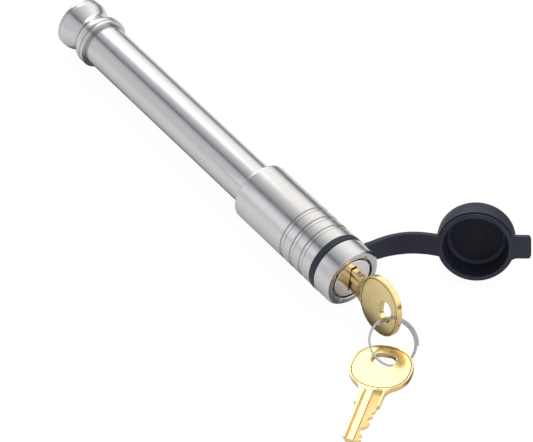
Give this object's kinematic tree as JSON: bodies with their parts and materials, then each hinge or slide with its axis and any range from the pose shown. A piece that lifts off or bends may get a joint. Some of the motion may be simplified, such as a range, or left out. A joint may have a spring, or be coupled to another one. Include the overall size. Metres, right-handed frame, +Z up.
{
  "type": "hitch pin lock",
  "caption": "Trailer hitch pin with a collared knob and a cylindrical keyed lock head that clips on its tip, with a tethered rubber dust cap and keys on a split ring.",
  "frame": {"origin": "centre of the flat end face of the pin's knob", "axes": "+X along the pin towards the lock's face, +Z up as the lock lies on a floor"},
  "size_m": [0.2121, 0.096, 0.0273],
  "materials": {
    "brushed_stainless": "fine turned and brushed",
    "polished_steel": "polished",
    "hardened_steel": "plain",
    "zinc": "die cast",
    "brass": "machined",
    "key_brass": "pale polished brass",
    "ring_wire": "bright nickel plate",
    "rubber": "matt moulded"
  },
  "bodies": {
    "lock_head": {"lock_body": "brushed_stainless", "shell_pin": "hardened_steel", "pin_seal": "rubber", "ball_cage": "hardened_steel", "cylinder_shell": "zinc"},
    "pin": {"hitch_pin": "brushed_stainless"},
    "ball_1": {"locking_ball_1": "hardened_steel"},
    "ball_2": {"locking_ball_2": "hardened_steel"},
    "plug": {"plug": "brass", "plug_face": "polished_steel", "plug_clip": "hardened_steel", "tail_driver": "hardened_steel", "cam_ring": "zinc", "wafer_spring_1": "hardened_steel", "wafer_spring_2": "hardened_steel", "wafer_spring_3": "hardened_steel", "wafer_spring_4": "hardened_steel", "wafer_spring_5": "hardened_steel"},
    "wafer_1": {"wafer_1": "brass"},
    "wafer_2": {"wafer_2": "brass"},
    "wafer_3": {"wafer_3": "brass"},
    "wafer_4": {"wafer_4": "brass"},
    "wafer_5": {"wafer_5": "brass"},
    "key": {"key_in_lock": "key_brass"},
    "ring": {"split_ring": "ring_wire"},
    "spare": {"spare_key": "key_brass"},
    "tether": {"tether_ring": "rubber"},
    "strap_1": {"strap_1": "rubber"},
    "strap_2": {"strap_2": "rubber"},
    "cap": {"dust_cap": "rubber"}
  },
  "joints": [
    {"name": "pin_slide", "type": "slide", "parent": "lock_head", "child": "pin", "axis": [1, 0, 0], "range_m": [-0.03, 0]},
    {"name": "plug_turn", "type": "hinge", "parent": "lock_head", "child": "plug", "pos_m": [0.15, 0, 0], "axis": [-1, 0, 0], "range_deg": [0, 90]},
    {"name": "ball_1_slide", "type": "slide", "parent": "lock_head", "child": "ball_1", "axis": [0, -1, 0], "range_m": [0, 0.00125]},
    {"name": "ball_2_slide", "type": "slide", "parent": "lock_head", "child": "ball_2", "axis": [0, 1, 0], "range_m": [0, 0.00125]},
    {"name": "key_slide", "type": "slide", "parent": "plug", "child": "key", "axis": [1, 0, 0], "range_m": [0, 0.022]},
    {"name": "wafer_1_slide", "type": "slide", "parent": "plug", "child": "wafer_1", "axis": [0, 0.1478, 0.989], "range_m": [0, 0.0007]},
    {"name": "wafer_2_slide", "type": "slide", "parent": "plug", "child": "wafer_2", "axis": [0, 0.1478, 0.989], "range_m": [0, 0.0007]},
    {"name": "wafer_3_slide", "type": "slide", "parent": "plug", "child": "wafer_3", "axis": [0, 0.1478, 0.989], "range_m": [0, 0.0007]},
    {"name": "wafer_4_slide", "type": "slide", "parent": "plug", "child": "wafer_4", "axis": [0, 0.1478, 0.989], "range_m": [0, 0.0007]},
    {"name": "wafer_5_slide", "type": "slide", "parent": "plug", "child": "wafer_5", "axis": [0, 0.1478, 0.989], "range_m": [0, 0.0007]},
    {"name": "ring_swing", "type": "hinge", "parent": "key", "child": "ring", "pos_m": [0.17956, -0.00041, -0.00277], "axis": [-0.3057, -0.9445, 0.1205], "range_deg": [-45, 60]},
    {"name": "spare_swing", "type": "hinge", "parent": "ring", "child": "spare", "pos_m": [0.18947, -0.00976, -0.0099], "axis": [0.7203, 0.5528, -0.4189], "range_deg": [-5, 45]},
    {"name": "tether_turn", "type": "hinge", "parent": "lock_head", "child": "tether", "pos_m": [0.1514, 0, 0], "axis": [1, 0, 0], "continuous": true},
    {"name": "strap_root_bend", "type": "hinge", "parent": "tether", "child": "strap_1", "pos_m": [0.1514, 0.01467, -0.00312], "axis": [0, 0.2079, 0.9781], "range_deg": [-22, 35], "stiffness_Nm_per_rad": 0.004},
    {"name": "strap_middle_bend", "type": "hinge", "parent": "strap_1", "child": "strap_2", "pos_m": [0.1568, 0.02404, -0.0006], "axis": [-0.1257, 0.1798, 0.9756], "range_deg": [-22, 35], "stiffness_Nm_per_rad": 0.004},
    {"name": "cap_bend", "type": "hinge", "parent": "strap_2", "child": "cap", "pos_m": [0.16521, 0.0296, 0.00173], "axis": [-0.2493, 0.1487, 0.9569], "range_deg": [-22, 35], "stiffness_Nm_per_rad": 0.004}
  ],
  "couplings": [
    {"joint": "ball_1_slide", "follows": "plug_turn", "m_per_rad": 0.00079577},
    {"joint": "ball_2_slide", "follows": "plug_turn", "m_per_rad": 0.00079577},
    {"joint": "wafer_1_slide", "follows": "key_slide", "ratio": 0.031818},
    {"joint": "wafer_2_slide", "follows": "key_slide", "ratio": 0.031818},
    {"joint": "wafer_3_slide", "follows": "key_slide", "ratio": 0.031818},
    {"joint": "wafer_4_slide", "follows": "key_slide", "ratio": 0.031818},
    {"joint": "wafer_5_slide", "follows": "key_slide", "ratio": 0.031818}
  ]
}
